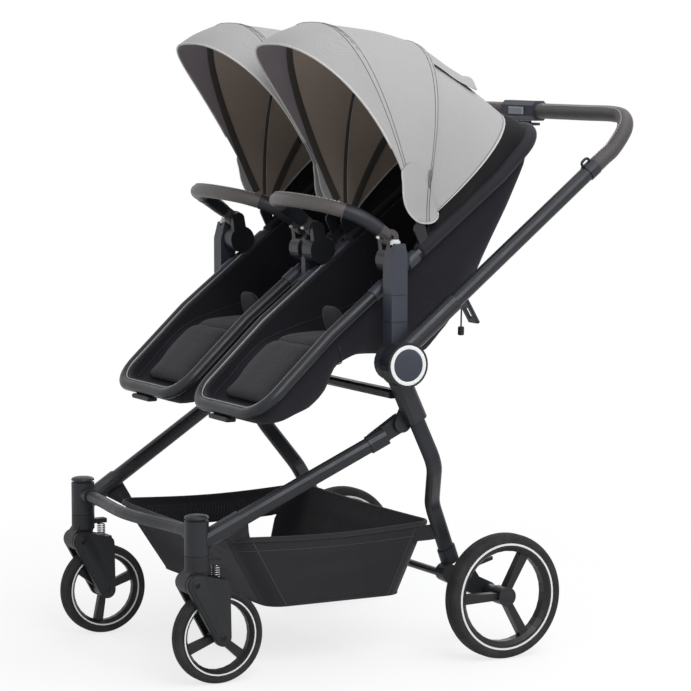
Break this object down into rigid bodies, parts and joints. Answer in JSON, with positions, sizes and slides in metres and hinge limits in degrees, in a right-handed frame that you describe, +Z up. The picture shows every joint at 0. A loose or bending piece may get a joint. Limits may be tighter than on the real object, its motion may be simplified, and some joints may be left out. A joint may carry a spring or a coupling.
{
  "type": "double stroller",
  "caption": "Side-by-side folding double stroller with reclining seats, hoods, bumper bars, sprung casters and an underseat basket.",
  "frame": {"origin": "on the floor under the middle of the whole stroller", "axes": "+Z up, -Y the way the stroller drives, +Y towards the push handle, +X the seated child's left"},
  "size_m": [0.7396, 0.8374, 1.0909],
  "materials": {
    "tube_dark": "satin anodised dark blue-grey",
    "housing_grey": "matte moulded blue-grey",
    "plastic_black": "matte black",
    "rim_black": "satin black",
    "tyre_black": "fine tread",
    "steel": "bright",
    "leatherette": "stitched leatherette",
    "fabric_black": "plain weave",
    "pad_charcoal": "quilted",
    "hood_grey": "light grey weave, brown lining",
    "basket_black": "coated cloth and mesh",
    "cord_black": "braided"
  },
  "bodies": {
    "rear_frame": {"hub_casting_left": "housing_grey", "hub_casting_right": "housing_grey", "rear_leg_left": "tube_dark", "rear_leg_right": "tube_dark", "axle_arm_left": "plastic_black", "axle_arm_right": "plastic_black", "seat_post_left": "housing_grey", "seat_post_right": "housing_grey", "rear_axle": "tube_dark", "cross_bar": "tube_dark", "seat_post_middle": "housing_grey", "basket": "basket_black"},
    "handle": {"push_tube_left": "tube_dark", "push_tube_right": "tube_dark"},
    "handle_upper": {"handle_bar": "tube_dark", "handle_grip_left": "leatherette", "handle_grip_right": "leatherette", "handle_housing": "housing_grey"},
    "fold_button": {"fold_button": "housing_grey"},
    "height_lever": {"height_lever": "plastic_black"},
    "front_frame": {"front_tube_left": "tube_dark", "front_tube_right": "tube_dark", "caster_head_left": "housing_grey", "caster_head_right": "housing_grey", "front_cross_bar": "housing_grey"},
    "brake_pedal": {"brake_pedal": "plastic_black"},
    "caster_left": {"caster_swivel_left": "plastic_black", "fork_spring_left": "steel"},
    "fork_left": {"caster_fork_left": "plastic_black"},
    "front_wheel_left": {"front_rim_left": "rim_black", "front_tyre_left": "tyre_black"},
    "rear_wheel_left": {"rear_rim_left": "rim_black", "rear_tyre_left": "tyre_black"},
    "post_button_left": {"post_button_left": "steel"},
    "seat_left": {"seat_ring_left": "tube_dark", "seat_shell_left": "fabric_black", "seat_pad_left": "pad_charcoal", "canopy_rear_left": "hood_grey", "drawcord": "cord_black", "cord_toggle": "plastic_black"},
    "hood_left": {"canopy_front_left": "hood_grey"},
    "bumper_left": {"bumper_bar_left": "leatherette"},
    "legrest_lever_left": {"legrest_lever_left": "plastic_black"},
    "recline_lever_left": {"recline_lever_left": "housing_grey"},
    "caster_right": {"caster_swivel_right": "plastic_black", "fork_spring_right": "steel"},
    "fork_right": {"caster_fork_right": "plastic_black"},
    "front_wheel_right": {"front_rim_right": "rim_black", "front_tyre_right": "tyre_black"},
    "rear_wheel_right": {"rear_rim_right": "rim_black", "rear_tyre_right": "tyre_black"},
    "post_button_right": {"post_button_right": "steel"},
    "seat_right": {"seat_ring_right": "tube_dark", "seat_shell_right": "fabric_black", "seat_pad_right": "pad_charcoal", "canopy_rear_right": "hood_grey"},
    "hood_right": {"canopy_front_right": "hood_grey"},
    "bumper_right": {"bumper_bar_right": "leatherette"},
    "legrest_lever_right": {"legrest_lever_right": "plastic_black"},
    "recline_lever_right": {"recline_lever_right": "housing_grey"}
  },
  "joints": [
    {"name": "handle_fold", "type": "hinge", "parent": "rear_frame", "child": "handle", "pos_m": [0, -0.05075, 0.529], "axis": [1, 0, 0], "range_deg": [0, 150]},
    {"name": "handle_extend", "type": "slide", "parent": "handle", "child": "handle_upper", "axis": [0, 0.7826, 0.6225], "range_m": [0, 0.1]},
    {"name": "fold_button_press", "type": "slide", "parent": "handle_upper", "child": "fold_button", "axis": [0, 1, 0], "range_m": [0, 0.003], "stiffness_N_per_m": 300, "springref_m": -0.001},
    {"name": "height_lever_squeeze", "type": "hinge", "parent": "handle_upper", "child": "height_lever", "pos_m": [0, 0.39725, 0.915], "axis": [1, 0, 0], "range_deg": [0, 8], "stiffness_Nm_per_rad": 0.5},
    {"name": "front_fold", "type": "hinge", "parent": "rear_frame", "child": "front_frame", "pos_m": [0, -0.02775, 0.424], "axis": [1, 0, 0], "range_deg": [0, 40], "deforming": ["basket"]},
    {"name": "brake_press", "type": "hinge", "parent": "rear_frame", "child": "brake_pedal", "pos_m": [0.233, 0.14525, 0.152], "axis": [-1, 0, 0], "range_deg": [0, 12]},
    {"name": "caster_swivel_left", "type": "hinge", "parent": "front_frame", "child": "caster_left", "pos_m": [0.236, -0.37575, 0.2185], "axis": [0, 0, 1], "continuous": true},
    {"name": "fork_suspension_left", "type": "hinge", "parent": "caster_left", "child": "fork_left", "pos_m": [0.236, -0.38675, 0.172], "axis": [1, 0, 0], "range_deg": [0, 4], "stiffness_Nm_per_rad": 90, "springref_deg": -3.44, "deforming": ["fork_spring_left"]},
    {"name": "front_wheel_spin_left", "type": "hinge", "parent": "fork_left", "child": "front_wheel_left", "pos_m": [0.236, -0.33875, 0.08], "axis": [1, 0, 0], "continuous": true},
    {"name": "rear_wheel_spin_left", "type": "hinge", "parent": "rear_frame", "child": "rear_wheel_left", "pos_m": [0.295, 0.18075, 0.109], "axis": [1, 0, 0], "continuous": true},
    {"name": "post_button_press_left", "type": "slide", "parent": "rear_frame", "child": "post_button_left", "axis": [0, 0, -1], "range_m": [0, 0.004], "stiffness_N_per_m": 300, "springref_m": -0.001},
    {"name": "seat_recline_left", "type": "hinge", "parent": "rear_frame", "child": "seat_left", "pos_m": [0.157, -0.03575, 0.698], "axis": [-1, 0, 0], "range_deg": [0, 24]},
    {"name": "hood_fold_left", "type": "hinge", "parent": "seat_left", "child": "hood_left", "pos_m": [0.157, 0.01805, 0.7481], "axis": [-1, 0, 0], "range_deg": [0, 37]},
    {"name": "bumper_swing_left", "type": "hinge", "parent": "seat_left", "child": "bumper_left", "pos_m": [0.157, -0.04375, 0.736], "axis": [1, 0, 0], "range_deg": [0, 45]},
    {"name": "legrest_lever_pull_left", "type": "hinge", "parent": "seat_left", "child": "legrest_lever_left", "pos_m": [0.157, -0.29775, 0.4356], "axis": [-1, 0, 0], "range_deg": [0, 16], "stiffness_Nm_per_rad": 0.3, "springref_deg": -11.46},
    {"name": "recline_lever_pull_left", "type": "hinge", "parent": "seat_left", "child": "recline_lever_left", "pos_m": [0.157, 0.15705, 0.652], "axis": [1, 0, 0], "range_deg": [0, 18], "stiffness_Nm_per_rad": 0.4, "springref_deg": -5.73},
    {"name": "caster_swivel_right", "type": "hinge", "parent": "front_frame", "child": "caster_right", "pos_m": [-0.236, -0.37575, 0.2185], "axis": [0, 0, 1], "continuous": true},
    {"name": "fork_suspension_right", "type": "hinge", "parent": "caster_right", "child": "fork_right", "pos_m": [-0.236, -0.38675, 0.172], "axis": [1, 0, 0], "range_deg": [0, 4], "stiffness_Nm_per_rad": 90, "springref_deg": -3.44, "deforming": ["fork_spring_right"]},
    {"name": "front_wheel_spin_right", "type": "hinge", "parent": "fork_right", "child": "front_wheel_right", "pos_m": [-0.236, -0.33875, 0.08], "axis": [1, 0, 0], "continuous": true},
    {"name": "rear_wheel_spin_right", "type": "hinge", "parent": "rear_frame", "child": "rear_wheel_right", "pos_m": [-0.295, 0.18075, 0.109], "axis": [1, 0, 0], "continuous": true},
    {"name": "post_button_press_right", "type": "slide", "parent": "rear_frame", "child": "post_button_right", "axis": [0, 0, -1], "range_m": [0, 0.004], "stiffness_N_per_m": 300, "springref_m": -0.001},
    {"name": "seat_recline_right", "type": "hinge", "parent": "rear_frame", "child": "seat_right", "pos_m": [-0.157, -0.03575, 0.698], "axis": [-1, 0, 0], "range_deg": [0, 24]},
    {"name": "hood_fold_right", "type": "hinge", "parent": "seat_right", "child": "hood_right", "pos_m": [-0.157, 0.01805, 0.7481], "axis": [-1, 0, 0], "range_deg": [0, 37]},
    {"name": "bumper_swing_right", "type": "hinge", "parent": "seat_right", "child": "bumper_right", "pos_m": [-0.157, -0.04375, 0.736], "axis": [1, 0, 0], "range_deg": [0, 45]},
    {"name": "legrest_lever_pull_right", "type": "hinge", "parent": "seat_right", "child": "legrest_lever_right", "pos_m": [-0.157, -0.29775, 0.4356], "axis": [-1, 0, 0], "range_deg": [0, 16], "stiffness_Nm_per_rad": 0.3, "springref_deg": -11.46},
    {"name": "recline_lever_pull_right", "type": "hinge", "parent": "seat_right", "child": "recline_lever_right", "pos_m": [-0.157, 0.15705, 0.652], "axis": [1, 0, 0], "range_deg": [0, 18], "stiffness_Nm_per_rad": 0.4, "springref_deg": -5.73}
  ],
  "couplings": [
    {"joint": "front_fold", "follows": "handle_fold", "ratio": 0.26666}
  ]
}
